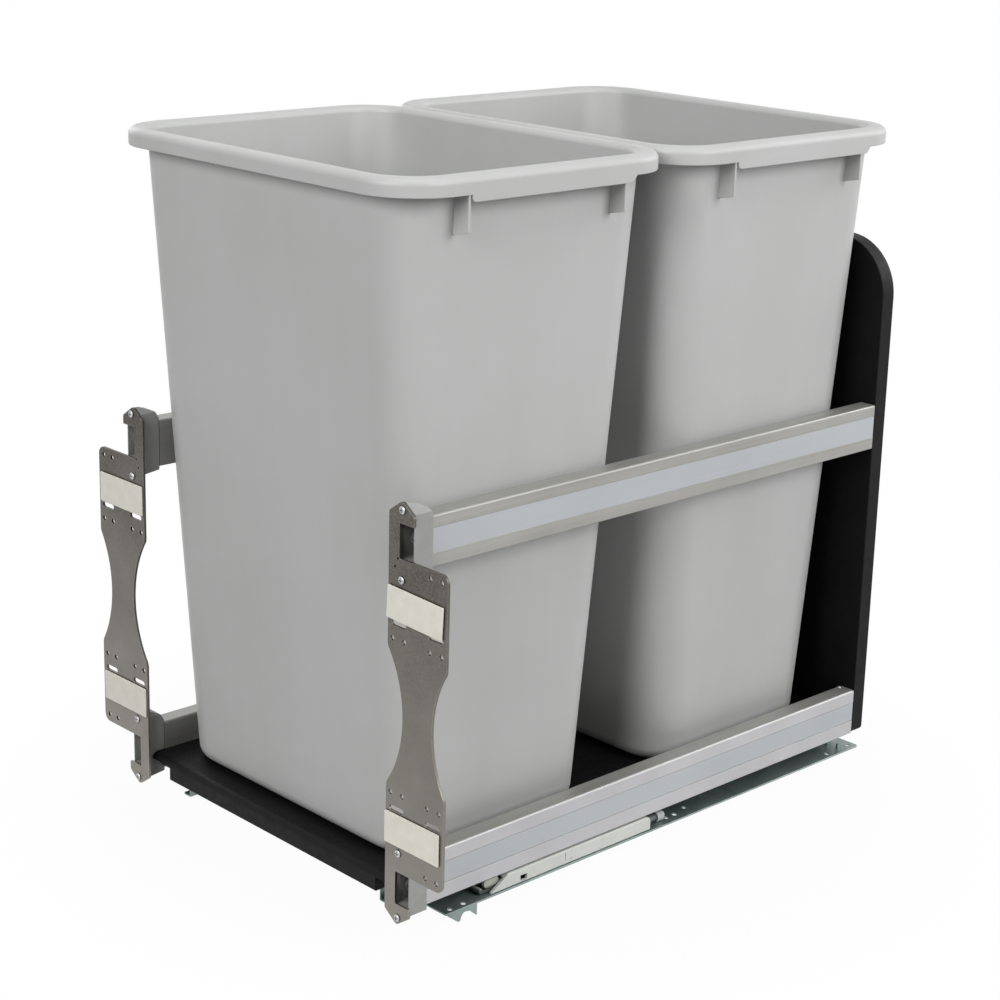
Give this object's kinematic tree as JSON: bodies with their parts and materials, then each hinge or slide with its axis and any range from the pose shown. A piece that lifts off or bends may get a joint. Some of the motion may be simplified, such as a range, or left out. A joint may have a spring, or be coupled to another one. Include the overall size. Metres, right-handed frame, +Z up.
{
  "type": "pull-out waste unit",
  "caption": "Door-mount pull-out waste unit: tapered bins in an open frame of aluminium side rails, carried on soft-close full-extension ball slides.",
  "frame": {"origin": "on the level of the slides' lowest points, under the middle of the unit's width and depth", "axes": "+X to the right seen from the door, +Y into the cabinet, +Z up; the drawer opens along -Y"},
  "size_m": [0.448, 0.5792, 0.5905],
  "materials": {
    "bin": "satin, moulded, light grey",
    "rail": "satin anodised",
    "inlay": "satin strip, slightly blue",
    "cap": "moulded, fine texture, mid grey",
    "bracket": "dull pewter plating",
    "pad": "closed foam, off-white",
    "board": "black laminate on particle board",
    "screw": "bright zinc",
    "slide": "zinc plated, slightly blue-green",
    "cage": "bare steel",
    "barrel": "dark grey, smooth",
    "housing": "moulded, pale grey"
  },
  "bodies": {
    "cabinet_side": {"slide_cabinet_member_left": "slide", "slide_cabinet_member_right": "slide", "soft_close_housing_left": "housing", "soft_close_housing_right": "housing", "damper_barrel_left": "barrel", "damper_barrel_right": "barrel"},
    "drawer": {"base_board": "board", "back_panel": "board", "upper_rail_right": "rail", "upper_rail_left": "rail", "upper_rail_inlay_right": "inlay", "upper_rail_inlay_left": "inlay", "upper_end_cap_right": "cap", "upper_end_cap_left": "cap", "upper_cap_adjuster_right": "screw", "upper_cap_adjuster_left": "screw", "upper_rail_plug_right": "cap", "upper_rail_plug_left": "cap", "upper_panel_screw_right": "screw", "upper_panel_screw_left": "screw", "lower_rail_right": "rail", "lower_rail_left": "rail", "lower_rail_inlay_right": "inlay", "lower_rail_inlay_left": "inlay", "lower_end_cap_right": "cap", "lower_end_cap_left": "cap", "lower_cap_adjuster_right": "screw", "lower_cap_adjuster_left": "screw", "lower_rail_plug_right": "cap", "lower_rail_plug_left": "cap", "lower_panel_screw_right": "screw", "lower_panel_screw_left": "screw", "door_bracket_right": "bracket", "door_bracket_left": "bracket", "upper_door_pad_right": "pad", "upper_door_pad_left": "pad", "lower_door_pad_right": "pad", "lower_door_pad_left": "pad", "bracket_screw_1_right": "screw", "bracket_screw_1_left": "screw", "bracket_screw_2_right": "screw", "bracket_screw_2_left": "screw", "bracket_screw_3_right": "screw", "bracket_screw_3_left": "screw", "bracket_screw_4_right": "screw", "bracket_screw_4_left": "screw", "slide_drawer_member_left": "slide", "slide_drawer_member_right": "slide"},
    "intermediate_left": {"slide_intermediate_member_left": "slide"},
    "outer_cage_left": {"outer_ball_cage_left": "cage"},
    "inner_cage_left": {"inner_ball_cage_left": "cage"},
    "catch_left": {"soft_close_catch_left": "housing", "damper_rod_left": "screw"},
    "intermediate_right": {"slide_intermediate_member_right": "slide"},
    "outer_cage_right": {"outer_ball_cage_right": "cage"},
    "inner_cage_right": {"inner_ball_cage_right": "cage"},
    "catch_right": {"soft_close_catch_right": "housing", "damper_rod_right": "screw"},
    "front_bin": {"front_bin": "bin"},
    "rear_bin": {"rear_bin": "bin"}
  },
  "joints": [
    {"name": "drawer_slide", "type": "slide", "parent": "cabinet_side", "child": "drawer", "axis": [0, -1, 0], "range_m": [0, 0.52]},
    {"name": "intermediate_left_slide", "type": "slide", "parent": "cabinet_side", "child": "intermediate_left", "axis": [0, -1, 0], "range_m": [0, 0.26]},
    {"name": "outer_cage_left_slide", "type": "slide", "parent": "cabinet_side", "child": "outer_cage_left", "axis": [0, -1, 0], "range_m": [0, 0.13]},
    {"name": "inner_cage_left_slide", "type": "slide", "parent": "cabinet_side", "child": "inner_cage_left", "axis": [0, -1, 0], "range_m": [0, 0.39]},
    {"name": "catch_left_slide", "type": "slide", "parent": "cabinet_side", "child": "catch_left", "axis": [0, -1, 0], "range_m": [0, 0.028], "stiffness_N_per_m": 150, "springref_m": -0.02},
    {"name": "intermediate_right_slide", "type": "slide", "parent": "cabinet_side", "child": "intermediate_right", "axis": [0, -1, 0], "range_m": [0, 0.26]},
    {"name": "outer_cage_right_slide", "type": "slide", "parent": "cabinet_side", "child": "outer_cage_right", "axis": [0, -1, 0], "range_m": [0, 0.13]},
    {"name": "inner_cage_right_slide", "type": "slide", "parent": "cabinet_side", "child": "inner_cage_right", "axis": [0, -1, 0], "range_m": [0, 0.39]},
    {"name": "catch_right_slide", "type": "slide", "parent": "cabinet_side", "child": "catch_right", "axis": [0, -1, 0], "range_m": [0, 0.028], "stiffness_N_per_m": 150, "springref_m": -0.02},
    {"name": "front_bin_lift", "type": "slide", "parent": "drawer", "child": "front_bin", "axis": [0, 0, 1], "range_m": [0, 0.35]},
    {"name": "rear_bin_lift", "type": "slide", "parent": "drawer", "child": "rear_bin", "axis": [0, 0, 1], "range_m": [0, 0.35]}
  ],
  "couplings": [
    {"joint": "intermediate_left_slide", "follows": "drawer_slide", "ratio": 0.5},
    {"joint": "outer_cage_left_slide", "follows": "drawer_slide", "ratio": 0.25},
    {"joint": "inner_cage_left_slide", "follows": "drawer_slide", "ratio": 0.75},
    {"joint": "intermediate_right_slide", "follows": "drawer_slide", "ratio": 0.5},
    {"joint": "outer_cage_right_slide", "follows": "drawer_slide", "ratio": 0.25},
    {"joint": "inner_cage_right_slide", "follows": "drawer_slide", "ratio": 0.75}
  ]
}
